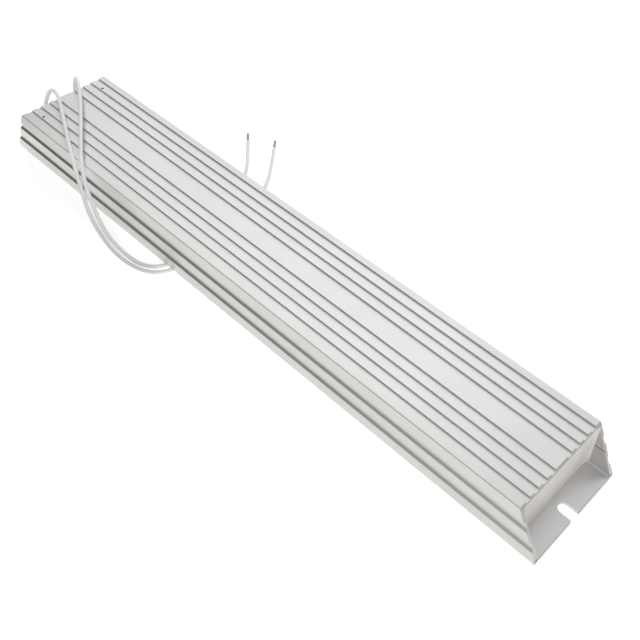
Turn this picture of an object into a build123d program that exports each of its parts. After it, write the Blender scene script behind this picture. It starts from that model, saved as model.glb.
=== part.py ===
from build123d import *
from math import radians, tan
import os

# Aluminium-housed braking resistor, in millimetres.
# It lies along X with both leads at the -X end. The origin is the centre of the housing,
# +Z is up through the ribbed top, and the base lies half the height below the origin.

# Housing: one extrusion, sawn back at both ends so that the base plate leaves a fixing tongue
housing_length = 400
housing_height = 30
top_width = 60.6
base_flare = 0.4
top_wall = 1.8
base_wall = 1.8
tongue_length = 15
top_corner_chamfer = 0.35

# Ribbed top: the same grooves on each side of a wide middle land
groove_pitch = 6.14
groove_width = 3.4
groove_depth = 1.0
groove_draft = 0.15
grooves_each_side = 4

# Ribbed sides, from the base upwards: band, groove, fin, groove, band. Each groove has a sill that
# slopes up to its floor and a brow that slopes back out above it.
base_band_height = 6.9
lower_groove_height = 5.3
fin_height = 5.6
upper_groove_height = 5.3
side_groove_depth = 1.0
side_groove_sill = 0.85
side_groove_brow = 1.3
fin_lean = 0.3
wall_behind_groove = 1.2

# Score line along the inside of each side wall
score_height = 15
score_width = 0.7
score_depth = 0.3

# Open-ended fixing slot in each tongue
slot_width = 5.9
slot_depth = 8.8
slot_mouth_radius = 0.8

# Punch marks in the top at the lead end
punch_inset = 10.5
punch_spacing = 43
punch_radius = 0.9
punch_depth = 0.6

# Cement seals at the ends, each with a slanted outer face
seal_thickness = 8
seal_head = 0.7
seal_foot = 2.3

# Mica sheets that line the cavity
mica_thickness = 0.5

# Two ceramic cores with a layer of resistance wire on each, and the filler left round them
core_spacing = 25
core_cover = 3.2
core_near_gap = 11
core_lead_gap = 17
winding_thickness = 0.5

# Terminal bands round the ends of the cores, with their tabs
band_width = 8
band_thickness = 0.8
tab_width = 5
tab_thickness = 0.8
tab_reach = 4

# Strap that joins the two cores at the end away from the leads
strap_thickness = 0.8

# Leads, and what carries them through the seal
lead_diameter = 2.4
lead_height = 16.5
conductor_diameter = 1.3
sleeve_diameter = 4
sleeve_length = 12
crimp_diameter = 3
crimp_length = 7
bare_end_length = 8.4

# The housing rests on the leads here, with its foot at the other end on the table
rest_x = -45
underside_gap = 0.1

# Share of a run that the arc at each of its ends may use up
run_share = 0.45

# Levels and places that follow from the sizes above
top_z = housing_height / 2
base_z = -top_z
cavity_top_z = top_z - top_wall
cavity_base_z = base_z + base_wall
end_x = housing_length / 2
shoulder_x = end_x - tongue_length
seal_inner_x = shoulder_x - seal_thickness
exit_x = shoulder_x + seal_foot
top_half = top_width / 2
base_half = top_half + base_flare
groove_floor_half = base_half - side_groove_depth
cavity_half = groove_floor_half - wall_behind_groove
cavity_height = cavity_top_z - cavity_base_z
lined_height = cavity_height - 2 * mica_thickness
lined_half = cavity_half - mica_thickness
core_radius = lined_height / 2 - core_cover
core_near_x = seal_inner_x - core_near_gap
core_lead_x = core_lead_gap - seal_inner_x
core_length = core_near_x - core_lead_x
core_half_spacing = core_spacing / 2
lead_z = base_z + lead_height
sides = (("left", -1), ("right", 1))

os.makedirs("parts", exist_ok=True)


def save(piece, name):
    """Labels a finished piece and writes its STEP file."""
    piece.part.label = name
    export_step(piece.part, f"parts/{name}.step")


# Section of the extrusion: the right half of its outline from the top down, then the mirrored half
base_band_z = base_z + base_band_height
lower_groove_z = base_band_z + lower_groove_height
fin_z = lower_groove_z + fin_height
upper_groove_z = fin_z + upper_groove_height
half_outline = (
    (0, top_z),
    (top_half - top_corner_chamfer, top_z),
    (top_half, top_z - top_corner_chamfer),
    (base_half, upper_groove_z),
    (groove_floor_half, upper_groove_z - side_groove_brow),
    (groove_floor_half, fin_z + side_groove_sill),
    (base_half, fin_z),
    (base_half - fin_lean, lower_groove_z),
    (groove_floor_half, lower_groove_z - side_groove_brow),
    (groove_floor_half, base_band_z + side_groove_sill),
    (base_half, base_band_z),
    (base_half, base_z),
    (0, base_z),
)
groove_outline = (
    (-groove_width / 2, 0),
    (groove_draft - groove_width / 2, -groove_depth),
    (groove_width / 2 - groove_draft, -groove_depth),
    (groove_width / 2, 0),
)
groove_places = [
    (side * step * groove_pitch, top_z)
    for _, side in sides
    for step in range(1, grooves_each_side + 1)
]
score_outline = (
    (0, -score_width / 2),
    (score_depth, 0),
    (0, score_width / 2),
)
score_z = base_z + score_height
cavity_middle = (0, (cavity_top_z + cavity_base_z) / 2)
with BuildSketch(Plane.YZ) as housing_section:
    with BuildLine():
        Polyline(*half_outline)
        mirror(about=Plane.YZ)
    make_face()
    with Locations(*groove_places):
        Polygon(*groove_outline, align=None, mode=Mode.SUBTRACT)
    with Locations(cavity_middle):
        Rectangle(2 * cavity_half, cavity_height, mode=Mode.SUBTRACT)
    with Locations((cavity_half, score_z)):
        Polygon(*score_outline, align=None, mode=Mode.SUBTRACT)
    with Locations((-cavity_half, score_z)):
        Polygon(*score_outline, align=None, rotation=180, mode=Mode.SUBTRACT)

# Housing: the extrusion, cut back at a slant to the base plate, slotted and punch marked
slot_radius = slot_width / 2
slot_centre_x = end_x - slot_depth + slot_radius
with BuildPart() as housing:
    extrude(housing_section.sketch, amount=end_x, both=True)
    with BuildSketch(Plane.XZ):
        with BuildLine():
            Polyline((shoulder_x, top_z), (end_x, cavity_base_z), (end_x, top_z), close=True)
        make_face()
        mirror(about=Plane.YZ)
    extrude(amount=base_half, both=True, mode=Mode.SUBTRACT)
    with BuildSketch(Plane.XY.offset(base_z)):
        with Locations((slot_centre_x, 0)):
            Circle(slot_radius)
            Rectangle(end_x - slot_centre_x, slot_width, align=(Align.MIN, Align.CENTER))
        mirror(about=Plane.YZ)
    extrude(amount=base_wall, mode=Mode.SUBTRACT)
    upright_edges = housing.edges().filter_by(Axis.Z)
    end_edges = upright_edges.group_by(Axis.X)[0] + upright_edges.group_by(Axis.X)[-1]
    fillet(end_edges.filter_by_position(Axis.Y, -slot_width, slot_width), slot_mouth_radius)
    with GridLocations(0, punch_spacing, 1, 2):
        with Locations((punch_inset - shoulder_x, 0, top_z)):
            Cone(
                0,
                punch_radius,
                punch_depth,
                align=(Align.CENTER, Align.CENTER, Align.MAX),
                mode=Mode.SUBTRACT,
            )
save(housing, "housing")

# Mica sheets: top and base across the whole cavity, the side ones between them
lining_length = 2 * seal_inner_x
with BuildPart() as mica_top:
    with Locations((0, 0, cavity_top_z)):
        Box(
            lining_length,
            2 * cavity_half,
            mica_thickness,
            align=(Align.CENTER, Align.CENTER, Align.MAX),
        )
save(mica_top, "mica_top")

with BuildPart() as mica_base:
    with Locations((0, 0, cavity_base_z)):
        Box(
            lining_length,
            2 * cavity_half,
            mica_thickness,
            align=(Align.CENTER, Align.CENTER, Align.MIN),
        )
save(mica_base, "mica_base")

for side_name, side in sides:
    with BuildPart() as mica_side:
        with Locations((0, side * (lined_half + mica_thickness / 2), cavity_middle[1])):
            Box(lining_length, mica_thickness, lined_height)
    save(mica_side, f"mica_{side_name}")

# Cores, each with its winding between two terminal bands. All of them are gathered for the filler.
inner_pieces = []
winding_length = core_length - 2 * band_width
band_radius = core_radius + band_thickness
tab_z = core_radius + tab_thickness
tab_end_x = core_lead_x - tab_reach
tab_foot_z = lead_z - crimp_diameter / 2
for side_name, side in sides:
    axis_y = side * core_half_spacing

    with BuildPart() as core:
        with BuildSketch(Plane.YZ.offset(core_lead_x)):
            with Locations((axis_y, 0)):
                Circle(core_radius)
        extrude(amount=core_length)
    save(core, f"core_{side_name}")

    with BuildPart() as winding:
        with BuildSketch(Plane.YZ.offset(core_lead_x + band_width)):
            with Locations((axis_y, 0)):
                Circle(core_radius + winding_thickness)
                Circle(core_radius, mode=Mode.SUBTRACT)
        extrude(amount=winding_length)
    save(winding, f"winding_{side_name}")

    # Band at the lead end: its tab steps down to the height of the conductor
    with BuildPart() as lead_band:
        with BuildSketch(Plane.YZ.offset(core_lead_x)):
            with Locations((axis_y, 0)):
                Circle(band_radius)
                Circle(core_radius, mode=Mode.SUBTRACT)
        extrude(amount=band_width)
        with BuildSketch(Plane.XZ.offset(-axis_y)):
            with BuildLine():
                Polyline(
                    (core_lead_x + band_width / 2, tab_z),
                    (tab_end_x, tab_z),
                    (tab_end_x, tab_foot_z),
                    (tab_end_x + tab_thickness, tab_foot_z),
                    (tab_end_x + tab_thickness, core_radius),
                    (core_lead_x + band_width / 2, core_radius),
                    close=True,
                )
            make_face()
        extrude(amount=tab_width / 2, both=True)
    save(lead_band, f"lead_band_{side_name}")

    # Band at the other end: a straight tab that carries the strap
    with BuildPart() as link_band:
        with BuildSketch(Plane.YZ.offset(core_near_x)):
            with Locations((axis_y, 0)):
                Circle(band_radius)
                Circle(core_radius, mode=Mode.SUBTRACT)
        extrude(amount=-band_width)
        with Locations((core_near_x - band_width / 2, axis_y, core_radius)):
            Box(
                band_width / 2 + tab_reach,
                tab_width,
                tab_thickness,
                align=(Align.MIN, Align.CENTER, Align.MIN),
            )
    save(link_band, f"link_band_{side_name}")

    # Crimp and conductor: from the tab, through the filler and the seal, to the exit
    with BuildPart() as crimp:
        with BuildSketch(Plane.YZ.offset(tab_end_x)):
            with Locations((axis_y, lead_z)):
                Circle(crimp_diameter / 2)
                Circle(conductor_diameter / 2, mode=Mode.SUBTRACT)
        extrude(amount=-crimp_length)
    save(crimp, f"crimp_{side_name}")

    with BuildPart() as conductor:
        with BuildSketch(Plane.YZ.offset(tab_end_x)):
            with Locations((axis_y, lead_z)):
                Circle(conductor_diameter / 2)
        extrude(amount=-exit_x - tab_end_x)
    save(conductor, f"conductor_{side_name}")

    with BuildPart() as exit_sleeve:
        with BuildSketch(Plane.YZ.offset(-exit_x)):
            with Locations((axis_y, lead_z)):
                Circle(sleeve_diameter / 2)
                Circle(conductor_diameter / 2, mode=Mode.SUBTRACT)
        extrude(amount=sleeve_length)
    save(exit_sleeve, f"exit_sleeve_{side_name}")

    inner_pieces += [core, winding, lead_band, link_band, crimp, conductor, exit_sleeve]

# Strap: lies across the tabs of both link bands
with BuildPart() as link_strap:
    with Locations((core_near_x + tab_reach, 0, tab_z)):
        Box(
            tab_reach,
            core_spacing + tab_width,
            strap_thickness,
            align=(Align.MAX, Align.CENTER, Align.MIN),
        )
save(link_strap, "link_strap")
inner_pieces.append(link_strap)

# Filler: the whole lined cavity, packed round everything in it
with BuildPart() as filler:
    with Locations((0, 0, cavity_middle[1])):
        Box(lining_length, 2 * lined_half, lined_height)
    for piece in inner_pieces:
        add(piece.part, mode=Mode.SUBTRACT)
save(filler, "filler")

# End seals: they close the cavity at both ends, and the sleeves pass through one of them
seal_profile = (
    (seal_inner_x, cavity_base_z),
    (shoulder_x + seal_foot, cavity_base_z),
    (shoulder_x + seal_head, cavity_top_z),
    (seal_inner_x, cavity_top_z),
)
with BuildPart() as end_seal_near:
    with BuildSketch(Plane.XZ):
        Polygon(*seal_profile, align=None)
    extrude(amount=cavity_half, both=True)
save(end_seal_near, "end_seal_near")

with BuildPart() as end_seal_lead:
    add(end_seal_near.part.mirror(Plane.YZ))
    with BuildSketch(Plane.YZ.offset(-seal_inner_x)):
        with GridLocations(core_spacing, 0, 2, 1):
            with Locations((0, lead_z)):
                Circle(sleeve_diameter / 2)
    extrude(amount=-exit_x + seal_inner_x, mode=Mode.SUBTRACT)
save(end_seal_lead, "end_seal_lead")

# Leads: raised points are (x, y, height above the base), lying points are (x, y) on the table
left_raised = (
    (-exit_x, -core_half_spacing, lead_height),
    (-192.4, -core_half_spacing, lead_height),
    (-196.8, -8.4, 21.2),
    (-197, -5.2, 27.3),
    (-193.4, -3.2, 32.5),
    (-184.6, -4.3, 33.6),
    (-171, -10.9, 34),
    (-152.5, -20.6, 33.2),
    (-133.5, -30.4, 33.8),
    (-122, -35.8, 28.5),
    (-116, -38.2, 19),
    (-109, -41, 10.5),
    (-98, -43.6, 4),
    (-83.5, -45.4, -0.4),
)
left_lying = (
    (-68, -45.1),
    (-54, -41),
    (-46.2, -30.5),
    (-45.8, -13),
    (-48, 12),
    (-53, 35),
    (-61.5, 56.5),
    (-73.5, 72),
    (-86.2, 85.7),
)
right_raised = (
    (-exit_x, core_half_spacing, lead_height),
    (-192.4, core_half_spacing, lead_height),
    (-197.2, 13.8, 21),
    (-197.4, 15.5, 27.2),
    (-193.5, 14.8, 32.6),
    (-184.8, 10.7, 35.2),
    (-172.5, 4.1, 35),
    (-156.5, -7, 33.8),
    (-138.5, -19.8, 33.2),
    (-122.5, -30.8, 33.8),
    (-112, -37.4, 27.8),
    (-105.6, -39.4, 18.5),
    (-98, -41.4, 10.5),
    (-87.5, -43.4, 5),
    (-75, -43.2, 1.4),
)
right_lying = (
    (-63, -40.8),
    (-54, -35),
    (-51, -24),
    (-52.5, -6),
    (-57.5, 14),
    (-66, 35),
    (-78, 54.5),
    (-91.5, 68.2),
    (-103.6, 78.6),
)

# The table slopes a little in this frame, because the leads lift one end of the housing
lead_radius = lead_diameter / 2
table_slope = (lead_diameter + underside_gap) / (end_x - rest_x)


def route(raised, lying):
    """Joins the raised points to the lying ones, which rest on the table."""
    points = [Vector(x, y, base_z + height) for x, y, height in raised]
    for x, y in lying:
        table_z = base_z - (end_x - x) * table_slope
        points.append(Vector(x, y, table_z + lead_radius))
    return points


def route_radii(points):
    """The largest arc at each corner that leaves part of both runs straight."""
    radii = []
    for before, corner, after in zip(points, points[1:], points[2:]):
        run_in = corner - before
        run_out = after - corner
        half_turn = radians(run_in.get_angle(run_out)) / 2
        radii.append(run_share * min(run_in.length, run_out.length) / tan(half_turn))
    return radii


routes = {
    "left": route(left_raised, left_lying),
    "right": route(right_raised, right_lying),
}
for side_name, points in routes.items():
    radii = route_radii(points)
    with BuildPart() as lead:
        with BuildLine() as lead_path:
            FilletPolyline(*points, radius=radii)
        with BuildSketch(Plane(origin=points[0], z_dir=points[1] - points[0])):
            Circle(lead_radius)
        sweep(path=lead_path.wire())
    save(lead, f"lead_{side_name}")

    # Bare strands, straight on from the end of the insulation
    with BuildPart() as lead_tip:
        with BuildSketch(Plane(origin=points[-1], z_dir=points[-1] - points[-2])):
            Circle(conductor_diameter / 2)
        extrude(amount=bare_end_length)
    save(lead_tip, f"lead_tip_{side_name}")

    swept_length = lead_path.wire().length
    section_volume = Circle(lead_radius).area * swept_length
    print(side_name, "lead length", round(swept_length, 1), "radii", [round(r, 1) for r in radii])
    print(side_name, "lead volume", round(lead.part.volume, 1), "of", round(section_volume, 1))
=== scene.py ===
"""Braking resistor: its finishes, cement seals, leads and studio.

Laid out as an add-on, and run as a script.
"""

import math

import bmesh
import bpy
from bpy.props import FloatProperty, FloatVectorProperty, IntProperty, PointerProperty
from bpy.types import Operator, Panel, PropertyGroup
from mathutils import Matrix, Vector, noise


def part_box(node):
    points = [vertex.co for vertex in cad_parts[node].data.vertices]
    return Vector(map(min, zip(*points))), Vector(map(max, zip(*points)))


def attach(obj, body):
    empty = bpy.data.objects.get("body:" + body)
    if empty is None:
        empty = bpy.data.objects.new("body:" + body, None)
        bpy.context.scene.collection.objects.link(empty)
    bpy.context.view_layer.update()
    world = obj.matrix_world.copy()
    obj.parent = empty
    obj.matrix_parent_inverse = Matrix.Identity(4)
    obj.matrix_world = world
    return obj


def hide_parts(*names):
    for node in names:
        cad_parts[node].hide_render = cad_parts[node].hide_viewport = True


bl_info = {
    "name": "Braking resistor",
    "version": (1, 0, 0),
    "blender": (4, 5, 0),
    "location": "3D View > Sidebar > Resistor",
    "description": "Dresses a flat aluminium-housed braking resistor and sets up its studio",
    "category": "Object",
}

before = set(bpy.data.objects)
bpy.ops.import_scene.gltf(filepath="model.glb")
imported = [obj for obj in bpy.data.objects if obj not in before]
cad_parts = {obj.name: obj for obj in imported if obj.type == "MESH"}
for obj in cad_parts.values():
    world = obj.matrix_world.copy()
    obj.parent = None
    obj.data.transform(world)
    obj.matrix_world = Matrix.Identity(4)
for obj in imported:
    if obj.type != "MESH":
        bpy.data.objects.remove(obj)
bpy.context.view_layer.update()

MM = 0.001
SIDES = (("left", -1), ("right", 1))

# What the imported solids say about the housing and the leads, in metres
HOUSING_LOW, HOUSING_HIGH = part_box("housing")
SEAL_LOW, SEAL_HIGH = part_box("end_seal_near")
SLEEVE_LOW, SLEEVE_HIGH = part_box("exit_sleeve_right")
CAVITY_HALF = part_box("mica_top")[1].y
BASE_Z = HOUSING_LOW.z
END_X = HOUSING_HIGH.x
HOUSING_TOP_X = 0.185
EXIT_X = -SEAL_HIGH.x
LEAD_Z = (SLEEVE_LOW.z + SLEEVE_HIGH.z) / 2
LEAD_Y = (SLEEVE_LOW.y + SLEEVE_HIGH.y) / 2
SLEEVE_RADIUS = (SLEEVE_HIGH.z - SLEEVE_LOW.z) / 2
LEAD_HEIGHT_MM = (LEAD_Z - BASE_Z) / MM
LEAD_Y_MM = LEAD_Y / MM
EXIT_X_MM = EXIT_X / MM

# The leads' routes, as in the part's source but for a millimetre here and there: raised points
# are x, y and height above the base, lying points are x and y on the table. Millimetres.
LEFT_RAISED = (
    (EXIT_X_MM, -LEAD_Y_MM, LEAD_HEIGHT_MM),
    (-191.8, -LEAD_Y_MM, LEAD_HEIGHT_MM),
    (-196, -8.7, 21.2),
    (-196.2, -5.4, 27.3),
    (-192.5, -3.4, 32.5),
    (-183.6, -4.5, 33.6),
    (-169.8, -11.1, 34),
    (-151.1, -20.8, 33.2),
    (-131.9, -30.5, 33.8),
    (-120.4, -35.9, 28.5),
    (-114.4, -38.3, 19),
    (-107.5, -41.1, 10.5),
    (-96.5, -43.6, 4),
    (-82, -45.4, -0.4),
)
LEFT_LYING = (
    (-66.4, -45.1),
    (-52.4, -41),
    (-44.6, -30.5),
    (-44.3, -13.1),
    (-46.6, 11.8),
    (-52.2, 34.2),
    (-61, 55.5),
    (-72.8, 71.2),
    (-85.4, 85.1),
)
RIGHT_RAISED = (
    (EXIT_X_MM, LEAD_Y_MM, LEAD_HEIGHT_MM),
    (-191.8, LEAD_Y_MM, LEAD_HEIGHT_MM),
    (-196.5, 13.5, 21),
    (-196.7, 15.3, 27.2),
    (-192.7, 14.6, 32.6),
    (-183.8, 10.5, 35.2),
    (-171.4, 3.9, 35),
    (-155.2, -7.2, 33.8),
    (-137, -20, 33.2),
    (-120.8, -30.9, 33.8),
    (-110.3, -37.5, 27.8),
    (-104, -39.5, 18.5),
    (-96.4, -41.5, 10.5),
    (-85.9, -43.4, 5),
    (-73.4, -43.2, 1.4),
)
RIGHT_LYING = (
    (-61.4, -40.8),
    (-52.4, -35),
    (-49.5, -24),
    (-51, -6.1),
    (-56.1, 13.8),
    (-65.2, 34.2),
    (-77.6, 53.4),
    (-90.9, 67.4),
    (-102.9, 78.1),
)

# The leads' lengths over the insulation, in metres
LEFT_LENGTH = 0.325
RIGHT_LENGTH = 0.3225

# The leads lift one end of the housing, which bears on one of them at this x, so the table
# slopes a little in this frame
REST_X = -45 * MM
UNDERSIDE_GAP = 0.1 * MM


def table_slope(lead_diameter):
    """How far the table falls away below the base, for each metre towards the leads."""
    return (lead_diameter + UNDERSIDE_GAP) / (END_X - REST_X)


def table_z(x, lead_diameter):
    """Height of the table's surface under a place on the housing."""
    return BASE_Z - (END_X - x) * table_slope(lead_diameter)


# ---- Sizes and colours a user would change


class HousingSettings(PropertyGroup):
    """Sizes and colours of the housing"""

    metal_colour: FloatVectorProperty(
        name="Metal colour",
        description="Colour of the anodised aluminium",
        subtype="COLOR",
        size=3,
        min=0,
        max=1,
        default=(0.70, 0.70, 0.688),
    )
    # Painted shade: the top grooves' walls take this darker colour in place of the shade inside
    # the grooves
    groove_shade_colour: FloatVectorProperty(
        name="Groove wall colour",
        description="Colour of the groove walls, which the blasting doesn't reach",
        subtype="COLOR",
        size=3,
        min=0,
        max=1,
        default=(0.62, 0.62, 0.61),
    )
    # Painted shade: this darker colour stands in for the shade in the recesses beyond the seals,
    # on the tongues and inner walls
    recess_shade_colour: FloatVectorProperty(
        name="Recess colour",
        description="Colour of the tongue and the inner walls, which the blasting hardly reaches",
        subtype="COLOR",
        size=3,
        min=0,
        max=1,
        default=(0.585, 0.575, 0.568),
    )
    sawn_colour: FloatVectorProperty(
        name="Sawn colour",
        description="Colour of the bare sawn ends",
        subtype="COLOR",
        size=3,
        min=0,
        max=1,
        default=(0.485, 0.475, 0.47),
    )
    metal_roughness: FloatProperty(
        name="Metal roughness",
        description="Roughness of the blasted faces",
        subtype="FACTOR",
        min=0,
        max=1,
        default=0.37,
    )
    grain_size: FloatProperty(
        name="Grain size",
        description="Size of the grain that the blasting leaves",
        unit="LENGTH",
        default=0.00045,
        min=0.0001,
        precision=5,
    )
    corner_colour: FloatVectorProperty(
        name="Corner colour",
        description="Colour of the hollow roundings at the feet of the inner walls",
        subtype="COLOR",
        size=3,
        min=0,
        max=1,
        default=(0.70, 0.69, 0.68),
    )
    corner_radius: FloatProperty(
        name="Corner radius",
        description="Radius of the hollow roundings at the feet of the inner walls",
        unit="LENGTH",
        default=0.0005,
        min=0,
        precision=5,
    )
    edge_round: FloatProperty(
        name="Edge rounding",
        description="Radius of the extrusion's edges",
        unit="LENGTH",
        default=0.00012,
        min=0,
        precision=5,
    )


class SealSettings(PropertyGroup):
    """Sizes and colour of the cement seals"""

    cement_colour: FloatVectorProperty(
        name="Cement colour",
        description="Colour of the cement seals",
        subtype="COLOR",
        size=3,
        min=0,
        max=1,
        default=(0.738, 0.716, 0.692),
    )
    unevenness: FloatProperty(
        name="Unevenness",
        description="How far the trowelled face departs from flat",
        unit="LENGTH",
        default=0.00016,
        min=0,
        precision=5,
    )
    meniscus: FloatProperty(
        name="Meniscus",
        description="How far the cement creeps out along the walls and sleeves",
        unit="LENGTH",
        default=0.0009,
        min=0,
        precision=5,
    )
    wall_fillet: FloatProperty(
        name="Wall fillet",
        description="How much further the cement is drawn out along the side walls",
        unit="LENGTH",
        default=0.0011,
        min=0,
        precision=5,
    )


class LeadSettings(PropertyGroup):
    """Sizes and colour of the leads"""

    diameter: FloatProperty(
        name="Lead diameter",
        description="Diameter over the insulation",
        unit="LENGTH",
        default=0.0024,
        min=0.001,
        precision=5,
    )
    insulation_colour: FloatVectorProperty(
        name="Insulation colour",
        description="Colour of the silicone insulation",
        subtype="COLOR",
        size=3,
        min=0,
        max=1,
        default=(0.935, 0.935, 0.94),
    )
    conductor_diameter: FloatProperty(
        name="Conductor diameter",
        description="Diameter over the twisted strands",
        unit="LENGTH",
        default=0.0013,
        min=0.0002,
        precision=5,
    )
    bare_length: FloatProperty(
        name="Stripped length",
        description="Length of bare strands at the end of each lead",
        unit="LENGTH",
        default=0.0084,
        min=0.001,
        precision=5,
    )
    twist_pitch: FloatProperty(
        name="Twist pitch",
        description="Length in which the strands make one turn",
        unit="LENGTH",
        default=0.012,
        min=0.002,
        precision=5,
    )
    outer_strands: IntProperty(
        name="Outer strands",
        description="Strands in the outer layer of the conductor",
        default=12,
        min=3,
    )


class StudioSettings(PropertyGroup):
    """Place of the camera, and colour of the floor"""

    azimuth: FloatProperty(
        name="Azimuth",
        description="Direction from which the camera looks, about the vertical",
        subtype="ANGLE",
        default=math.radians(43.696),
    )
    elevation: FloatProperty(
        name="Elevation",
        description="Height of the camera above the horizon",
        subtype="ANGLE",
        default=math.radians(49.513),
    )
    roll: FloatProperty(
        name="Roll",
        description="Turn of the camera about its own axis",
        subtype="ANGLE",
        default=math.radians(1.411),
    )
    distance: FloatProperty(
        name="Distance",
        description="From the camera to the point that it looks at",
        unit="LENGTH",
        default=0.42359,
        precision=5,
    )
    lens: FloatProperty(
        name="Focal length",
        description="Focal length of the camera",
        unit="CAMERA",
        default=46.886,
    )
    floor_colour: FloatVectorProperty(
        name="Floor colour",
        description="Colour of the studio floor",
        subtype="COLOR",
        size=3,
        min=0,
        max=1,
        default=(0.93, 0.93, 0.93),
    )


# ---- Small helpers


def link_object(name, data):
    """Puts a new object into the scene."""
    linked = bpy.data.objects.new(name, data)
    bpy.context.scene.collection.objects.link(linked)
    return linked


def finish_piece(name, mesh_or_curve, material, replaced=()):
    """Links a new piece that rides on the part and its material."""
    piece = link_object(name, mesh_or_curve)
    mesh_or_curve.materials.append(material)
    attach(piece, "root")
    if replaced:
        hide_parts(*replaced)
    return piece


def dress_node(node, material):
    """Gives a CAD node its material, and leaves its mesh as it is."""
    node_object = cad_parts[node]
    node_object.data.materials.clear()
    node_object.data.materials.append(material)
    return node_object


def mesh_from(built, name):
    """Turns a bmesh into a mesh, and frees it."""
    mesh = bpy.data.meshes.new(name)
    built.to_mesh(mesh)
    built.free()
    return mesh


def smooth_by_angle(mesh, degrees):
    """Smooth shading, broken where faces meet at more than this angle."""
    mesh.polygons.foreach_set("use_smooth", [True] * len(mesh.polygons))
    mesh.set_sharp_from_angle(angle=math.radians(degrees))


def shaded(colour, factor):
    """A colour made darker, or lighter by a factor over 1."""
    return tuple(channel * factor for channel in colour)


# The values between which most of a noise lies, for a fine grain and for larger patches
GRAIN = (0.3, 0.7)
PATCHES = (0.35, 0.65)


class MaterialGraph:
    """A material with one Principled shader, and short ways to add nodes to it."""

    def __init__(self, name, **sockets):
        self.material = bpy.data.materials.new(name)
        self.material.use_nodes = True
        self.tree = self.material.node_tree
        self.shader = self.tree.nodes["Principled BSDF"]
        for socket, value in sockets.items():
            self.shader.inputs[socket.replace("_", " ")].default_value = value
        self.place = self.add("ShaderNodeTexCoord").outputs["Object"]

    def add(self, kind, **settings):
        """Adds a node with these settings."""
        node = self.tree.nodes.new(kind)
        for setting, value in settings.items():
            setattr(node, setting, value)
        return node

    def join(self, output, socket):
        """Joins an output to a socket."""
        self.tree.links.new(output, socket)

    def feed(self, socket, value):
        """Sets a socket to a number, or joins an output to it."""
        if isinstance(value, bpy.types.NodeSocket):
            self.join(value, socket)
        else:
            socket.default_value = value

    def math(self, operation, first, second=0.0):
        """Works on two numbers, each an output or a plain one."""
        node = self.add("ShaderNodeMath", operation=operation)
        self.feed(node.inputs[0], first)
        self.feed(node.inputs[1], second)
        return node.outputs[0]

    def unsigned(self, value):
        """A number without its sign."""
        return self.math("ABSOLUTE", value)

    def over(self, value, limit):
        """A mask: 1 where the value is over the limit, else 0."""
        return self.math("GREATER_THAN", value, limit)

    def under(self, value, limit):
        """A mask: 1 where the value is under the limit, else 0."""
        return self.math("LESS_THAN", value, limit)

    def product(self, first, *others):
        """Numbers multiplied together. A product of masks holds where all of them do."""
        for other in others:
            first = self.math("MULTIPLY", first, other)
        return first

    def axes(self, vector):
        """The x, y and z of a vector."""
        node = self.add("ShaderNodeSeparateXYZ")
        self.join(vector, node.inputs[0])
        return tuple(node.outputs)

    def stretched(self, scale):
        """Object coordinates multiplied by a factor for each axis."""
        node = self.add("ShaderNodeMapping")
        self.join(self.place, node.inputs["Vector"])
        node.inputs["Scale"].default_value = scale
        return node.outputs[0]

    def noise(self, size, detail=2.0, roughness=0.5, vector=None):
        """Soft noise whose lumps are about this size, in metres."""
        node = self.add("ShaderNodeTexNoise")
        self.join(vector or self.place, node.inputs["Vector"])
        node.inputs["Scale"].default_value = 1 / size
        node.inputs["Detail"].default_value = detail
        node.inputs["Roughness"].default_value = roughness
        return node.outputs["Fac"]

    def spread(self, value, low, high, to_low=0.0, to_high=1.0):
        """Maps a range of values to another one, and clamps it."""
        node = self.add("ShaderNodeMapRange")
        self.feed(node.inputs["Value"], value)
        for socket, number in (
            ("From Min", low),
            ("From Max", high),
            ("To Min", to_low),
            ("To Max", to_high),
        ):
            node.inputs[socket].default_value = number
        return node.outputs[0]

    def mix(self, factor, first, second, blend="MIX"):
        """Mixes two colours, each an output or three numbers."""
        node = self.add("ShaderNodeMix", data_type="RGBA", blend_type=blend)
        self.feed(node.inputs["Factor"], factor)
        for socket, colour in ((node.inputs[6], first), (node.inputs[7], second)):
            if isinstance(colour, bpy.types.NodeSocket):
                self.join(colour, socket)
            else:
                socket.default_value = (*colour, 1)
        return node.outputs[2]

    def toned(self, mask, tone, factor):
        """Multiplies a colour by a number or another colour where a mask holds."""
        if isinstance(factor, float):
            factor = (factor,) * 3
        return self.mix(mask, tone, self.mix(1.0, tone, factor, "MULTIPLY"))

    def mottled(self, grain, colour, dark, light):
        """A colour that follows a grain from a darker shade of it to a lighter one."""
        return self.mix(self.spread(grain, *GRAIN), shaded(colour, dark), shaded(colour, light))

    def bump(self, height, strength, distance):
        """A normal that follows a height, with the distance in metres."""
        node = self.add("ShaderNodeBump")
        self.feed(node.inputs["Height"], height)
        node.inputs["Strength"].default_value = strength
        node.inputs["Distance"].default_value = distance
        return node.outputs[0]

    def wear(self, **inputs):
        """Joins outputs to the shader's own sockets."""
        for socket, output in inputs.items():
            self.join(output, self.shader.inputs[socket.replace("_", " ")])
        return self.material


# ---- Finishes

# A face looks along an axis where its normal's share of that axis is over this
FACING = 0.5

# The two grooves along each side: height of their middles above and below the housing's
# middle, half their width, and the heights in a groove over which their painted shade fades out
SIDE_GROOVE_Z = 5.45 * MM
SIDE_GROOVE_HALF = 2.62 * MM
SIDE_GROOVES_REACH = SIDE_GROOVE_Z + SIDE_GROOVE_HALF
GROOVE_FOOT = (SIDE_GROOVE_Z - 1.1 * MM, SIDE_GROOVE_Z - 0.1 * MM)

# The top: a little more than the grooves' depth, how far from the middle they reach, and where
# the outermost lands begin
TOP_GROOVE_DEPTH = 1.05 * MM
TOP_GROOVES_HALF = 29 * MM
OUTER_LAND_Y = 25.5 * MM

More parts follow.
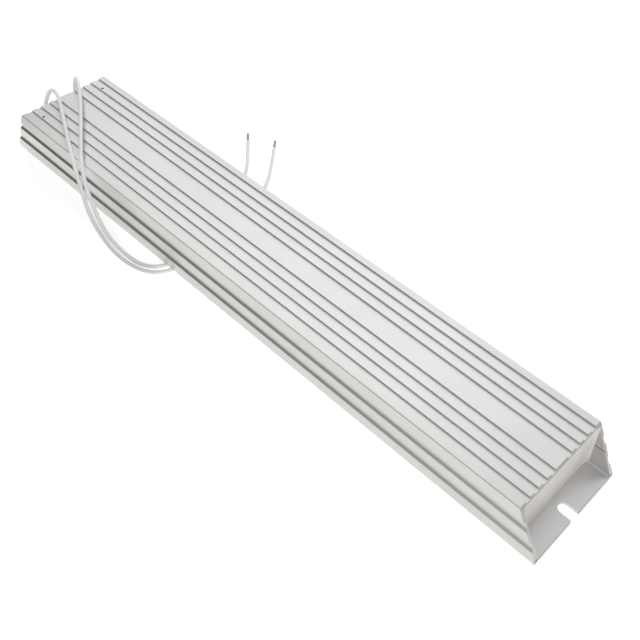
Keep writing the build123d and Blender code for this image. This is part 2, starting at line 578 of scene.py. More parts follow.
# The walls: how far from the middle their inner faces count as inside, and the rest as outside
INSIDE_TO = CAVITY_HALF + 0.3 * MM
OUTSIDE_FROM = CAVITY_HALF + 0.6 * MM

# The ends: depth of the saw cut's rim below the top, painted darker as shade, the heights between
# which the painted lighter foot of the cut ends, half the width about a slot, and the width of the
# tongues' end edges, painted darker as shade
SAWN_RIM_DEPTH = 1.9 * MM
SAWN_FOOT = (BASE_Z + 9 * MM, BASE_Z + 18 * MM)
SLOT_ZONE_HALF = 6 * MM
END_EDGE = 0.3 * MM

# The recesses beyond the seals: where they begin, and depth of the roof over them. Then how fully
# their painted shade covers the blasted colour, and the walls' tone on top of that painted shade
RECESS_FROM_X = SEAL_HIGH.x - 2 * MM
RECESS_ROOF_DEPTH = 1.7 * MM
RECESS_SHADE_COVER = 0.8
RECESS_WALL_SHADE_COVER = 0.6
RECESS_WALL_SHADE_TONE = 1.03

# The score line inside each wall, painted dark as shade: half its height, its depth in the wall
# and how far that varies
SCORE_HALF_HEIGHT = 0.4 * MM
SCORE_DEPTH = 0.17 * MM
SCORE_DEPTH_SPREAD = 0.15 * MM

# The two punch marks in the top, painted dark as shade, this far from the middle towards the leads
# and to each side
PUNCH_X = 174.5 * MM
PUNCH_Y = 21.5 * MM
PUNCH_RADIUS = 0.95 * MM
PUNCH_DEPTH = 0.8 * MM

# Stretches along the housing, in metres from its middle, over which its painted light and shade
# change
GROOVE_SHADE_FADES = (-0.18, 0.18)
FAR_END_SHADOW_FADES = (-0.19, -0.115)
MIDDLE_BEGINS = (-0.07, 0.04)
MIDDLE_ENDS = (0.11, 0.15)
NEAR_END_SHADE_BEGINS = (0.15, 0.18)

# Colours that multiply the metal's: painted shade in the side grooves at their far and near ends,
# and the side bands' painted warm light
FAR_GROOVE_SHADE = (0.42, 0.42, 0.42)
NEAR_GROOVE_SHADE = (0.88, 0.89, 0.92)
SIDE_LIGHT_TINT = (1.0, 0.998, 0.972)

# How much darker, or brighter over 1, places are than the metal or, in the ends, the sawn metal
FAR_END_SHADOW_TONE = 0.76
LEFT_LAND_SHADE = 0.98
RIGHT_LAND_SHADE = 0.945
MIDDLE_HIGHLIGHT_TONE = 1.045
NEAR_END_SHADE_TONE = 0.96
SLOT_TONE = 0.95
SCORE_SHADE_TONE = 0.3
PUNCH_SHADE_TONE = 0.28
SAWN_FOOT_LIGHT_TONE = 1.24
SAWN_RIM_SHADE_TONE = 0.86
END_EDGE_SHADE_TONE = 0.9
END_FACE_SHADE_TONE = 0.45

# The metal's sheen, how much of it the bare sawn ends lose, and how high the lines of drawing and
# sawing stand against the grain
METAL_SHEEN = 0.7
SAWN_SHEEN_LOSS = 0.5
DRAWN_LINE_HEIGHT = 0.25
SAWN_LINE_HEIGHT = 2.0


class HousingGraph(MaterialGraph):
    """The housing's material, which finds its areas by their place and direction."""

    def __init__(self):
        super().__init__("blasted_aluminium", Specular_IOR_Level=0.15)
        self.x, self.y, self.z = self.axes(self.place)
        self.from_middle = self.unsigned(self.x)
        self.aside = self.unsigned(self.y)
        normal = self.add("ShaderNodeNewGeometry").outputs["True Normal"]
        facing_x, facing_y, facing_z = self.axes(normal)
        self.upright = self.under(self.unsigned(facing_z), FACING)
        self.sideways = self.over(self.unsigned(facing_y), FACING)
        self.sawn = self.over(self.unsigned(facing_x), FACING)
        self.top_face = self.over(facing_z, FACING)
        self.outward = self.over(self.aside, OUTSIDE_FROM)

    def below_top(self, depth):
        """A mask of all that lies less than this far below the top."""
        return self.over(self.z, HOUSING_HIGH.z - depth)

    def blasted(self, settings, grain):
        """The blasted faces, with painted shade on the top grooves' walls and on the tongues and
        walls in the ends.
        """
        tone = self.mottled(grain, settings.metal_colour, 0.93, 1.05)
        clouds = self.spread(self.noise(20 * MM, detail=3), *PATCHES)
        tone = self.toned(clouds, tone, 0.97)
        # Painted shade on the walls of the top grooves
        groove_wall = self.product(
            self.upright,
            self.sideways,
            self.below_top(TOP_GROOVE_DEPTH),
            self.under(self.aside, TOP_GROOVES_HALF),
        )
        tone = self.mix(groove_wall, tone, tuple(settings.groove_shade_colour))
        # Painted shade in the recesses beyond the seals, with its own tone on their walls
        recess = self.product(
            self.over(self.from_middle, RECESS_FROM_X),
            self.under(self.aside, INSIDE_TO),
            self.under(self.z, HOUSING_HIGH.z - RECESS_ROOF_DEPTH),
        )
        recess_shade = self.product(recess, RECESS_SHADE_COVER)
        tone = self.mix(recess_shade, tone, tuple(settings.recess_shade_colour))
        recess_wall_shade = self.product(recess, self.sideways, RECESS_WALL_SHADE_COVER)
        return self.mix(recess_wall_shade, tone, shaded(settings.recess_shade_colour, RECESS_WALL_SHADE_TONE))

    def side_groove(self):
        """A mask of the side grooves, and the painted shade colour that darkens them."""
        height = self.math("FLOORED_MODULO", self.z, 2 * SIDE_GROOVE_Z)
        off_centre = self.unsigned(self.math("SUBTRACT", height, SIDE_GROOVE_Z))
        mask = self.product(
            self.under(off_centre, SIDE_GROOVE_HALF),
            self.under(self.unsigned(self.z), SIDE_GROOVES_REACH),
            self.outward,
        )
        # Painted shade in the side grooves: darkest at the far end, and lighter towards the near
        # end and the groove's lower part
        dust_and_shade = self.mix(self.spread(self.x, *GROOVE_SHADE_FADES), FAR_GROOVE_SHADE, NEAR_GROOVE_SHADE)
        foot = self.spread(height, *GROOVE_FOOT, 1.0, 0.0)
        return mask, self.mix(foot, (1.0,) * 3, dust_and_shade)

    def painted_light_and_shade(self, tone):
        """Painted shade in the side grooves, and painted shade and highlight on stretches of the
        bands and lands.
        """
        groove, dust_and_shade = self.side_groove()
        tone = self.toned(groove, tone, dust_and_shade)

        # Painted shadow: the upper side bands darken towards the far end
        upper_band = self.over(self.z, SIDE_GROOVES_REACH)
        far_end = self.spread(self.x, *FAR_END_SHADOW_FADES, 1.0, 0.0)
        far_end_shadow = self.product(upper_band, self.outward, self.sideways, far_end)
        tone = self.toned(far_end_shadow, tone, FAR_END_SHADOW_TONE)

        # Painted shade: the outermost lands of the top are darker, a little more on the right
        outer_land = self.product(self.over(self.aside, OUTER_LAND_Y), self.top_face)
        right_side = self.spread(self.y, -1 * MM, 1 * MM)
        land_shade = self.mix(right_side, (LEFT_LAND_SHADE,) * 3, (RIGHT_LAND_SHADE,) * 3)
        tone = self.toned(outer_land, tone, land_shade)

        # Painted highlight: the top and the base bands are brighter along the middle of the
        # housing
        base_band = self.product(self.under(self.z, -SIDE_GROOVES_REACH), self.outward)
        middle = self.math(
            "MINIMUM",
            self.spread(self.x, *MIDDLE_BEGINS),
            self.spread(self.x, *MIDDLE_ENDS, 1.0, 0.0),
        )
        bright = self.product(middle, self.math("MAXIMUM", self.top_face, base_band))
        tone = self.toned(bright, tone, MIDDLE_HIGHLIGHT_TONE)

        # Painted light: the outer side faces take a faint warm tint
        tone = self.toned(self.product(self.outward, self.sideways), tone, SIDE_LIGHT_TINT)
        # Painted shade: the top darkens towards the near end
        near_end_shade = self.product(self.spread(self.x, *NEAR_END_SHADE_BEGINS), self.top_face)
        return self.toned(near_end_shade, tone, NEAR_END_SHADE_TONE)

    def cut(self, settings, tone):
        """The sawn ends with painted light at the foot and painted shade at the rim, the slots in
        the tongues, and painted shade on the tongues' end edges and faces.
        """
        sawn_colour = tuple(settings.sawn_colour)
        # Painted light at the foot of the sawn ends, and painted shade at their rim under the top
        foot = self.spread(self.z, *SAWN_FOOT)
        sawn_tone = self.mix(foot, shaded(sawn_colour, SAWN_FOOT_LIGHT_TONE), sawn_colour)
        rim = self.below_top(SAWN_RIM_DEPTH)
        sawn_tone = self.mix(rim, sawn_tone, shaded(sawn_colour, SAWN_RIM_SHADE_TONE))
        tone = self.mix(self.sawn, tone, sawn_tone)
        in_slot = self.product(
            self.under(self.aside, SLOT_ZONE_HALF),
            self.upright,
            self.over(self.from_middle, SEAL_HIGH.x),
        )
        tone = self.mix(in_slot, tone, shaded(settings.metal_colour, SLOT_TONE))
        # Painted shade on the tongues' end edges, darker still on their end faces
        end_edge = self.over(self.from_middle, END_X - END_EDGE)
        tone = self.mix(end_edge, tone, shaded(sawn_colour, END_EDGE_SHADE_TONE))
        end_face = self.product(end_edge, self.sawn)
        return self.mix(end_face, tone, shaded(sawn_colour, END_FACE_SHADE_TONE))

    def marked(self, settings, tone):
        """The score line inside each wall and the punch marks in the top, both painted dark as
        shade.
        """
        # The score line's dark colour is painted shade
        depth = self.math("SUBTRACT", self.aside, CAVITY_HALF)
        at_depth = self.math("COMPARE", depth, SCORE_DEPTH)
        at_depth.node.inputs[2].default_value = SCORE_DEPTH_SPREAD
        level = self.under(self.unsigned(self.z), SCORE_HALF_HEIGHT)
        scored = self.product(level, at_depth)
        tone = self.mix(scored, tone, shaded(settings.metal_colour, SCORE_SHADE_TONE))
        # The punch marks' dark colour is painted shade
        along = self.math("ADD", self.x, PUNCH_X)
        aside = self.math("SUBTRACT", self.aside, PUNCH_Y)
        squared = self.math("ADD", self.product(along, along), self.product(aside, aside))
        in_mark = self.under(squared, PUNCH_RADIUS**2)
        punched = self.product(in_mark, self.below_top(PUNCH_DEPTH))
        return self.mix(punched, tone, shaded(settings.metal_colour, PUNCH_SHADE_TONE))


def housing_metal(settings):
    """Fine-blasted, clear anodised aluminium with sawn ends, and painted light and shade on its
    grooves, recesses, bands, lands and ends.
    """
    graph = HousingGraph()
    grain = graph.noise(settings.grain_size, detail=2.5, roughness=0.6)
    tone = graph.painted_light_and_shade(graph.blasted(settings, grain))
    tone = graph.marked(settings, graph.cut(settings, tone))
    roughness = settings.metal_roughness
    rough = graph.spread(grain, *GRAIN, roughness - 0.05, roughness + 0.06)

    drawn_lines = graph.noise(0.9 * MM, detail=2, vector=graph.stretched((0.02, 1, 1)))
    sawn_lines = graph.noise(0.6 * MM, detail=2, vector=graph.stretched((1, 1, 0.05)))
    height = graph.math("ADD", grain, graph.product(drawn_lines, DRAWN_LINE_HEIGHT))
    sawn_height = graph.product(graph.sawn, sawn_lines, SAWN_LINE_HEIGHT)
    height = graph.math("ADD", height, sawn_height)
    sheen_loss = graph.product(graph.sawn, SAWN_SHEEN_LOSS)
    return graph.wear(
        Base_Color=tone,
        Roughness=rough,
        Metallic=graph.math("SUBTRACT", METAL_SHEEN, sheen_loss),
        Normal=graph.bump(height, 0.35, 0.06 * MM),
    )


# The cement: its pores, and the pits where the noise passes from the first value to the second,
# which are painted darker as shade. Heights and depths are against the sand's
PORES_A_METRE = 900
PORE_HEIGHT = 0.3
PIT_EDGE = (0.68, 0.74)
PIT_DEPTH = 1.5
PIT_SHADE_TONE = 0.6


def cement(settings):
    """Matt, slightly sandy cement with small pores."""
    graph = MaterialGraph("seal_cement", Metallic=0.0, Specular_IOR_Level=0.25)
    colour = tuple(settings.cement_colour)
    sand = graph.noise(0.5 * MM, detail=3, roughness=0.65)
    patches = graph.noise(6 * MM, detail=3)
    pores = graph.add("ShaderNodeTexVoronoi", feature="DISTANCE_TO_EDGE")
    graph.join(graph.place, pores.inputs["Vector"])
    pores.inputs["Scale"].default_value = PORES_A_METRE
    pits = graph.spread(graph.noise(1.1 * MM, detail=1), *PIT_EDGE)
    tone = graph.mottled(sand, colour, 0.9, 1.08)
    tone = graph.mix(graph.spread(patches, *PATCHES, 0, 0.35), tone, shaded(colour, 0.86))
    # Painted shade in the pits
    tone = graph.mix(pits, tone, shaded(colour, PIT_SHADE_TONE))
    height = graph.math("SUBTRACT", sand, graph.product(pits, PIT_DEPTH))
    height = graph.math("ADD", height, graph.product(pores.outputs["Distance"], PORE_HEIGHT))
    rough = graph.spread(sand, *GRAIN, 0.82, 0.95)
    normal = graph.bump(height, 0.5, 0.15 * MM)
    return graph.wear(Base_Color=tone, Roughness=rough, Normal=normal)


# Where the leads hang beside the housing, the side that they turn away from it is dimmer: the y
# over which this sets in, x and y of that side's direction, and the tones of both sides there
LEAD_SHADE_Y = (-0.039, -0.033)
LEAD_SHADE_SIDE = (-0.72, -0.69)
LEAD_LIT_TONE = 0.92
LEAD_SHADE_TONE = 0.70


def silicone(settings):
    """Smooth silicone insulation with a soft sheen and a trace of dust."""
    graph = MaterialGraph("silicone_insulation", Metallic=0.0, Specular_IOR_Level=0.42)
    colour = tuple(settings.insulation_colour)
    dust_and_shade = graph.noise(1.3 * MM, detail=3)
    patches = graph.noise(15 * MM, detail=2)
    tone = graph.mix(graph.spread(dust_and_shade, 0.35, 0.7, 0, 0.5), colour, shaded(colour, 1.06))
    tone = graph.mix(graph.spread(patches, *PATCHES, 0, 0.4), tone, shaded(colour, 0.95))

    _, y, _ = graph.axes(graph.place)
    normal = graph.add("ShaderNodeNewGeometry").outputs["Normal"]
    facing_x, facing_y, _ = graph.axes(normal)
    outer_side = graph.math(
        "ADD",
        graph.product(facing_x, LEAD_SHADE_SIDE[0]),
        graph.product(facing_y, LEAD_SHADE_SIDE[1]),
    )
    turned_away = graph.spread(outer_side, -0.2, 0.7)
    shade = graph.mix(turned_away, (LEAD_LIT_TONE,) * 3, (LEAD_SHADE_TONE,) * 3)
    tone = graph.toned(graph.spread(y, *LEAD_SHADE_Y, 1.0, 0.0), tone, shade)

    rough = graph.spread(dust_and_shade, *GRAIN, 0.36, 0.5)
    normal = graph.bump(graph.noise(0.4 * MM, detail=2), 0.12, 0.04 * MM)
    return graph.wear(Base_Color=tone, Roughness=rough, Normal=normal)


# The strands' two colours, which lie in patches
DULL_TIN = (0.31, 0.31, 0.285)
BARE_COPPER = (0.37, 0.345, 0.26)


def tinned_copper():
    """Tinned copper strands, dulled, with copper showing through."""
    graph = MaterialGraph("tinned_copper", Metallic=1.0)
    patches = graph.noise(0.8 * MM, detail=3)
    tone = graph.mix(graph.spread(patches, 0.4, 0.6), DULL_TIN, BARE_COPPER)
    rough = graph.spread(patches, *GRAIN, 0.3, 0.5)
    normal = graph.bump(graph.noise(0.3 * MM, detail=2), 0.2, 0.03 * MM)
    return graph.wear(Base_Color=tone, Roughness=rough, Normal=normal)


def grained(name, colour, size, metallic=0.0, roughness=0.7, stretch=(1, 1, 1)):
    """A plain finish with its own grain, for the pieces inside and the inner corners."""
    graph = MaterialGraph(name, Metallic=metallic)
    grain = graph.noise(size, detail=3, vector=graph.stretched(stretch))
    tone = graph.mottled(grain, colour, 0.85, 1.08)
    rough = graph.spread(grain, *GRAIN, roughness - 0.08, roughness + 0.08)
    return graph.wear(Base_Color=tone, Roughness=rough, Normal=graph.bump(grain, 0.4, 0.1 * MM))


def floor_paper(colour, glow):
    """White studio floor, lit a little from within so that shadows stay faint."""
    graph = MaterialGraph("studio_floor", Metallic=0.0, Roughness=0.9, Specular_IOR_Level=0.1)
    fibre = graph.noise(4 * MM, detail=2)
    graph.shader.inputs["Emission Color"].default_value = (1, 1, 1, 1)
    graph.shader.inputs["Emission Strength"].default_value = glow
    return graph.wear(Base_Color=graph.mottled(fibre, colour, 0.995, 1.0))


# ---- Housing

# Facets of a hollow rounding, and how deep its back lies in the metal
CORNER_STEPS = 6
CORNER_BURIED = 0.05 * MM


def inner_corner_mesh(radius):
    """The hollow roundings along the feet of the inner walls, beyond the seals."""
    slant = (END_X - HOUSING_TOP_X) / (HOUSING_HIGH.z - SEAL_LOW.z)
    profile = [(CAVITY_HALF + CORNER_BURIED, -CORNER_BURIED)]
    for step in range(CORNER_STEPS + 1):
        angle = math.pi / 2 * step / CORNER_STEPS
        y = CAVITY_HALF - radius + radius * math.sin(angle)
        profile.append((y, radius - radius * math.cos(angle)))
    inner_x = SEAL_HIGH.x - 1 * MM
    built = bmesh.new()
    for end in (-1, 1):
        for _, side in SIDES:
            inner = []
            outer = []
            for y, up in profile:
                inner.append(built.verts.new((end * inner_x, side * y, SEAL_LOW.z + up)))
            for y, up in profile:
                outer_x = END_X - slant * max(up, 0) - 2 * CORNER_BURIED
                outer.append(built.verts.new((end * outer_x, side * y, SEAL_LOW.z + up)))
            for index in range(len(profile)):
                following = (index + 1) % len(profile)
                built.faces.new((inner[index], inner[following], outer[following], outer[index]))
            built.faces.new(inner)
            built.faces.new(outer)
    bmesh.ops.recalc_face_normals(built, faces=built.faces)
    return mesh_from(built, "inner_corners")


class RESISTOR_OT_housing(Operator):
    """Give the extruded housing its blasted finish and its slightly rounded edges"""

    bl_idname = "resistor.housing"
    bl_label = "Housing"

    def execute(self, context):
        settings = context.scene.resistor_housing
        housing = dress_node("housing", housing_metal(settings))
        rounding = housing.modifiers.new("edge_round", "BEVEL")
        rounding.width = settings.edge_round
        rounding.segments = 2
        rounding.limit_method = "ANGLE"
        rounding.angle_limit = math.radians(28)

        bright = grained("corner_metal", settings.corner_colour, settings.grain_size, 1.0, 0.45)
        mesh = inner_corner_mesh(settings.corner_radius)
        corners = finish_piece("inner_corners", mesh, bright)
        smooth_by_angle(corners.data, 50)
        return {"FINISHED"}


# ---- Cement seals

# The grid of a trowelled face
SEAL_COLUMNS = 96
SEAL_ROWS = 46

# How much further in the face's head lies than its foot, how far from a wall the cement still
# clings, and the size of the lumps that the trowel leaves
SEAL_SLANT = 1.6 * MM
CREEP_REACH = 1.1 * MM
LUMP_SIZE = 7 * MM

# The cutter that bores a sleeve's passage through a seal
PASSAGE_LENGTH = 40 * MM
PASSAGE_FACETS = 48


def creep(distance):
    """How strongly the cement clings at this distance from a wall."""
    return math.exp(-max(distance, 0) / CREEP_REACH)


def seal_face_x(end, y, z, flat_x, settings, sleeves):
    """How far out a seal's trowelled face lies, where a flat one would be at flat_x."""
    place = Vector((end, y, z))
    # Large lumps, with lower ones of a third of their size on them
    lump = noise.noise(place / LUMP_SIZE) + 0.4 * noise.noise(place * 3 / LUMP_SIZE)
    wall_gap = SEAL_HIGH.y - abs(y)
    gaps = [wall_gap, SEAL_HIGH.z - z, z - SEAL_LOW.z]
    for sleeve_y in sleeves:
        gaps.append(math.hypot(y - sleeve_y, z - LEAD_Z) - SLEEVE_RADIUS)
    cling = creep(min(gaps))
    half_creep = 0.5 * settings.meniscus
    x = flat_x - half_creep + settings.unevenness * lump * (1 - cling) + half_creep * cling
    return min(x, SEAL_HIGH.x) + settings.wall_fillet * creep(wall_gap)


def seal_mesh(name, end, settings, sleeves):
    """A closed block of cement with a trowelled, slanted outer face."""
    foot_x, head_x = SEAL_HIGH.x, SEAL_HIGH.x - SEAL_SLANT
    built = bmesh.new()
    face = []
    for row in range(SEAL_ROWS + 1):
        up = row / SEAL_ROWS
        z = SEAL_LOW.z + (SEAL_HIGH.z - SEAL_LOW.z) * up
        flat_x = foot_x + (head_x - foot_x) * up
        line = []
        for column in range(SEAL_COLUMNS + 1):
            y = SEAL_HIGH.y * math.sin(math.pi / 2 * (2 * column / SEAL_COLUMNS - 1))
            x = seal_face_x(end, y, z, flat_x, settings, sleeves)
            line.append(built.verts.new((end * x, y, z)))
        face.append(line)
    for lower, upper in zip(face, face[1:]):
        for a, b, c, d in zip(lower, lower[1:], upper[1:], upper):
            built.faces.new((a, b, c, d))
    rim = face[0] + [line[-1] for line in face[1:]]
    rim += face[-1][-2::-1] + [line[0] for line in face[-2:0:-1]]
    back = [built.verts.new((end * SEAL_LOW.x, vert.co.y, vert.co.z)) for vert in rim]
    for index, vert in enumerate(rim):
        following = (index + 1) % len(rim)
        built.faces.new((vert, back[index], back[following], rim[following]))
    built.faces.new(back)
    bmesh.ops.recalc_face_normals(built, faces=built.faces)
    return mesh_from(built, name)


def bore_sleeve_holes(seal, sleeves):
    """Cuts the round passages of the sleeves through a seal."""
    along_x = Matrix.Rotation(math.radians(90), 4, "Y")
    for sleeve_y in sleeves:
        built = bmesh.new()
        bmesh.ops.create_cone(
            built,
            cap_ends=True,
            segments=PASSAGE_FACETS,
            radius1=SLEEVE_RADIUS,
            radius2=SLEEVE_RADIUS,
            depth=PASSAGE_LENGTH,
            matrix=Matrix.Translation((EXIT_X, sleeve_y, LEAD_Z)) @ along_x,
        )
        passage = link_object("sleeve_passage", mesh_from(built, "sleeve_passage"))
        cut = seal.modifiers.new("passage", "BOOLEAN")
        cut.operation = "DIFFERENCE"
        cut.solver = "EXACT"
        cut.object = passage
        graph = bpy.context.evaluated_depsgraph_get()
        bored = bpy.data.meshes.new_from_object(seal.evaluated_get(graph))
        seal.modifiers.clear()
        seal.data = bored
        bpy.data.objects.remove(passage)


class RESISTOR_OT_seals(Operator):
    """Build the cement seals with their trowelled faces"""

    bl_idname = "resistor.seals"
    bl_label = "Cement seals"

    def execute(self, context):
        settings = context.scene.resistor_seals
        material = cement(settings)
        for name, end, sleeves in (
            ("end_seal_near", 1, ()),
            ("end_seal_lead", -1, (-LEAD_Y, LEAD_Y)),
        ):
            mesh = seal_mesh(f"{name}_cement", end, settings, sleeves)
            seal = finish_piece(f"{name}_cement", mesh, material, (name,))
            bore_sleeve_holes(seal, sleeves)
            smooth_by_angle(seal.data, 40)
        return {"FINISHED"}


# ---- Leads

# Steps along a bare strand, facets round it, and how far short of the stripped length it is cut,
# on average
STRAND_STEPS = 26
STRAND_FACETS = 8
STRAND_SHORTFALL = 0.35 * MM


def lead_points(raised, lying, diameter):
    """The route's points in metres, with the lying ones on the table."""
    points = [Vector((x * MM, y * MM, BASE_Z + height * MM)) for x, y, height in raised]
    for x, y in lying:
        points.append(Vector((x * MM, y * MM, table_z(x * MM, diameter) + diameter / 2)))
    return points


def lead_curve(name, points, radius):
    """A smooth round cord whose control points are the route's."""
    curve = bpy.data.curves.new(name, "CURVE")
    curve.dimensions = "3D"
    curve.bevel_depth = radius
    curve.bevel_resolution = 6
    curve.resolution_u = 12
    curve.use_fill_caps = True
    spline = curve.splines.new("NURBS")
    spline.points.add(len(points) - 1)
    for point, place in zip(spline.points, points):
        point.co = (*place, 1)
    spline.order_u = 3
    spline.use_endpoint_u = True
    return curve


def turned(sideways, upwards, angle):
    """A direction square to an axis, turned about it by an angle."""
    return sideways * math.cos(angle) + upwards * math.sin(angle)


def add_tube(built, centres, radius, around):
    """Adds a closed round tube along a list of centres to a mesh."""
    rings = []
    sideways = None
    for index, centre in enumerate(centres):
        before = centres[max(index - 1, 0)]
        after = centres[min(index + 1, len(centres) - 1)]
        heading = (after - before).normalized()
        if sideways is None:
            sideways = heading.orthogonal().normalized()
        else:
            sideways = (sideways - heading * sideways.dot(heading)).normalized()
        upwards = heading.cross(sideways)
        ring = []
        for step in range(around):
            offset = turned(sideways, upwards, 2 * math.pi * step / around)
            ring.append(built.verts.new(centre + offset * radius))
        rings.append(ring)
    for ring, following in zip(rings, rings[1:]):
        for step in range(around):
            beside = (step + 1) % around
            built.faces.new((ring[step], ring[beside], following[beside], following[step]))
    built.faces.new(rings[0][::-1])
    built.faces.new(rings[-1])


def strand_mesh(name, start, heading, settings):
    """A bundle of twisted strands: one in the middle, an inner layer of some, and an outer one."""
    sideways = heading.orthogonal().normalized()
    upwards = heading.cross(sideways)
    # Five strands lie side by side across the bundle
    strand_radius = settings.conductor_diameter / 10
    layers = (
        (0.0, 1),
        (2 * strand_radius, settings.outer_strands // 2),
        (4 * strand_radius, settings.outer_strands),
    )
    built = bmesh.new()
    for layer_radius, count in layers:
        for strand in range(count):
            first_angle = 2 * math.pi * strand / count
            unevenness = noise.noise(Vector((strand, layer_radius / MM, 0.5)))
            length = settings.bare_length - STRAND_SHORTFALL * (1 + unevenness)
            centres = []
            for step in range(STRAND_STEPS + 1):
                along = length * step / STRAND_STEPS
                angle = first_angle + 2 * math.pi * along / settings.twist_pitch
                offset = turned(sideways, upwards, angle)
                centres.append(start + heading * along + offset * layer_radius)
            add_tube(built, centres, strand_radius, STRAND_FACETS)
    mesh = mesh_from(built, name)
    smooth_by_angle(mesh, 50)
    return mesh


class RESISTOR_OT_leads(Operator):
    """Build the two insulated leads and their stripped, twisted ends"""

    bl_idname = "resistor.leads"
    bl_label = "Leads"

    def execute(self, context):
        settings = context.scene.resistor_leads
        cover = silicone(settings)
        strands = tinned_copper()
        routes = (
            ("left", -1, LEFT_RAISED, LEFT_LYING, LEFT_LENGTH),
            ("right", 1, RIGHT_RAISED, RIGHT_LYING, RIGHT_LENGTH),
        )
        for side_name, side, raised, lying, length in routes:
            points = lead_points(raised, lying, settings.diameter)
            curve = lead_curve(f"lead_cover_{side_name}", points, settings.diameter / 2)
            node = f"lead_{side_name}"
            cord = finish_piece(curve.name, curve, cover, (node,))
            heading = (points[-1] - points[-2]).normalized()
            mesh = strand_mesh(f"bare_strands_{side_name}", points[-1], heading, settings)
            tip_node = f"lead_tip_{side_name}"
            bare = finish_piece(mesh.name, mesh, strands, (tip_node,))
        return {"FINISHED"}


# ---- Inside

# How the grain is stretched by winding the wire, and by rolling the strip
WOUND_GRAIN = (1, 0.02, 0.02)
ROLLED_GRAIN = (0.05, 1, 1)


class RESISTOR_OT_inside(Operator):
    """Give the pieces inside the housing their finishes"""

    bl_idname = "resistor.inside"
    bl_label = "Inside"

    def execute(self, context):
        ceramic = grained("core_ceramic", (0.80, 0.78, 0.74), 0.8 * MM, roughness=0.75)
        wire = grained("resistance_wire", (0.36, 0.35, 0.34), 0.6 * MM, 1.0, 0.45, WOUND_GRAIN)
        strip = grained("terminal_strip", (0.60, 0.59, 0.57), 0.7 * MM, 1.0, 0.35, ROLLED_GRAIN)
        tinned = grained("tinned_crimp", (0.56, 0.52, 0.45), 0.8 * MM, 1.0, 0.38)
        glass_sleeve = grained("glass_sleeving", (0.82, 0.80, 0.75), 0.5 * MM, roughness=0.8)
        mica = grained("mica_sheet", (0.60, 0.55, 0.44), 4 * MM, roughness=0.4)
        packing = grained("packed_filler", (0.70, 0.68, 0.64), 0.9 * MM, roughness=0.9)
        paired = {
            "core": ceramic,
            "winding": wire,
            "lead_band": strip,
            "link_band": strip,
            "crimp": tinned,
            "conductor": tinned,
            "exit_sleeve": glass_sleeve,
            "mica": mica,
        }
        for side_name, _ in SIDES:
            for piece, material in paired.items():
                dress_node(f"{piece}_{side_name}", material)
        dress_node("link_strap", strip)
        dress_node("mica_top", mica)
        dress_node("mica_base", mica)
        dress_node("filler", packing)
        return {"FINISHED"}


# ---- Studio

# The camera's target and its nearest and furthest sight, and how far the floor reaches, in metres
CAMERA_TARGET = Vector((47.971, -7.558, 0)) * MM
CAMERA_SIGHT = (0.01, 20)
FLOOR_REACH = 6.0

# How strongly the floor glows, and the room around it
FLOOR_GLOW = 0.44
ROOM_LIGHT = 0.26

# Name, place, the point it faces, width, depth and watts of each light
SOFTBOXES = (
    ("overhead_softbox", (-0.5, 0.75, 1.0), (0, 0, 0), 1.7, 1.5, 9.6),
    ("end_softbox", (1.3, -0.6, 0.7), (0.15, 0, 0), 1.0, 0.8, 5.5),
    ("front_softbox", (0.5, -0.8, 1.4), (0, 0, 0), 1.2, 0.9, 6),
)


def add_camera(settings):
    """A camera with the photograph's view."""
    level = math.cos(settings.elevation)
    back = Vector(
        (
            math.sin(settings.azimuth) * level,
            -math.cos(settings.azimuth) * level,
            math.sin(settings.elevation),
        )
    )
    lens = bpy.data.cameras.new("camera")
    lens.lens = settings.lens
    lens.clip_start, lens.clip_end = CAMERA_SIGHT
    camera = link_object("camera", lens)
    camera.rotation_mode = "QUATERNION"
    camera.location = CAMERA_TARGET + back * settings.distance
    turn = Matrix.Rotation(settings.roll, 4, "Z").to_quaternion()
    camera.rotation_quaternion = (-back).to_track_quat("-Z", "Y") @ turn
    return camera


def add_floor(material, lead_diameter):
    """The table, which falls away from the housing's near end towards the leads."""
    built = bmesh.new()
    corners = []
    for x, y in ((-1, -1), (1, -1), (1, 1), (-1, 1)):
        x, y = x * FLOOR_REACH, y * FLOOR_REACH
        corners.append(built.verts.new((x, y, table_z(x, lead_diameter))))
    built.faces.new(corners)
    mesh = mesh_from(built, "studio_floor")
    mesh.materials.append(material)
    return link_object("studio_floor", mesh)


def white_world():
    """An even white room, which fills the shadows a little."""
    world = bpy.data.worlds.new("studio_world")
    world.use_nodes = True
    background = world.node_tree.nodes["Background"]
    background.inputs["Color"].default_value = (1, 1, 1, 1)
    background.inputs["Strength"].default_value = ROOM_LIGHT
    return world


def area_light(name, place, target, width, depth, power):
    """Adds a soft rectangular light that faces a point."""
    lamp = bpy.data.lights.new(name, "AREA")
    lamp.shape = "RECTANGLE"
    lamp.size = width
    lamp.size_y = depth
    lamp.energy = power
    light = link_object(name, lamp)
    light.location = place
    light.rotation_mode = "QUATERNION"
    light.rotation_quaternion = (Vector(target) - Vector(place)).to_track_quat("-Z", "Y")


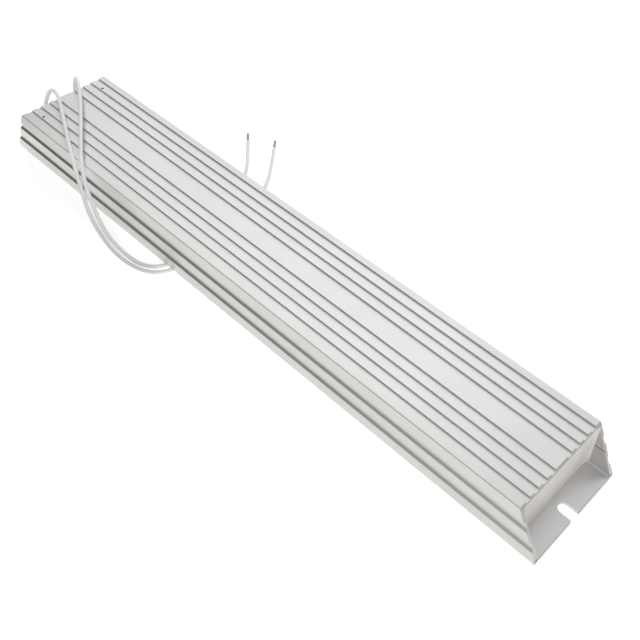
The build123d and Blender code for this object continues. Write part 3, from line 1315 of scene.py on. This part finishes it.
class RESISTOR_OT_studio(Operator):
    """Set up the camera, the pale floor and the soft studio light"""

    bl_idname = "resistor.studio"
    bl_label = "Studio"

    def execute(self, context):
        scene = context.scene
        settings = scene.resistor_studio
        bpy.context.scene.camera = add_camera(settings)
        paper = floor_paper(tuple(settings.floor_colour), FLOOR_GLOW)
        add_floor(paper, scene.resistor_leads.diameter)
        scene.world = white_world()
        for softbox in SOFTBOXES:
            area_light(*softbox)
        scene.view_settings.view_transform = "Standard"
        return {"FINISHED"}


# ---- Panel and registration

SETTINGS = {
    "resistor_housing": HousingSettings,
    "resistor_seals": SealSettings,
    "resistor_leads": LeadSettings,
    "resistor_studio": StudioSettings,
}
PANEL_ROWS = (
    ("resistor_housing", ("resistor.housing", "resistor.inside")),
    ("resistor_seals", ("resistor.seals",)),
    ("resistor_leads", ("resistor.leads",)),
    ("resistor_studio", ("resistor.studio",)),
)


class RESISTOR_PT_panel(Panel):
    """Sizes, colours and steps of the braking resistor"""

    bl_idname = "RESISTOR_PT_panel"
    bl_label = "Braking resistor"
    bl_space_type = "VIEW_3D"
    bl_region_type = "UI"
    bl_category = "Resistor"

    def draw(self, context):
        for settings_name, operators in PANEL_ROWS:
            box = self.layout.box()
            settings = getattr(context.scene, settings_name)
            for prop in SETTINGS[settings_name].__annotations__:
                box.prop(settings, prop)
            for operator in operators:
                box.operator(operator)


CLASSES = (
    *SETTINGS.values(),
    RESISTOR_OT_housing,
    RESISTOR_OT_seals,
    RESISTOR_OT_leads,
    RESISTOR_OT_inside,
    RESISTOR_OT_studio,
    RESISTOR_PT_panel,
)


def register():
    """Registers the classes, and gives each scene its settings."""
    for cls in CLASSES:
        bpy.utils.register_class(cls)
    for name, cls in SETTINGS.items():
        setattr(bpy.types.Scene, name, PointerProperty(type=cls))


def unregister():
    """Takes the settings and the classes away again."""
    for name in SETTINGS:
        delattr(bpy.types.Scene, name)
    for cls in reversed(CLASSES):
        bpy.utils.unregister_class(cls)


def main():
    """Builds every piece and the studio."""
    register()
    bpy.ops.resistor.leads()
    bpy.ops.resistor.housing()
    bpy.ops.resistor.seals()
    bpy.ops.resistor.inside()
    bpy.ops.resistor.studio()


if __name__ == "__main__":
    main()
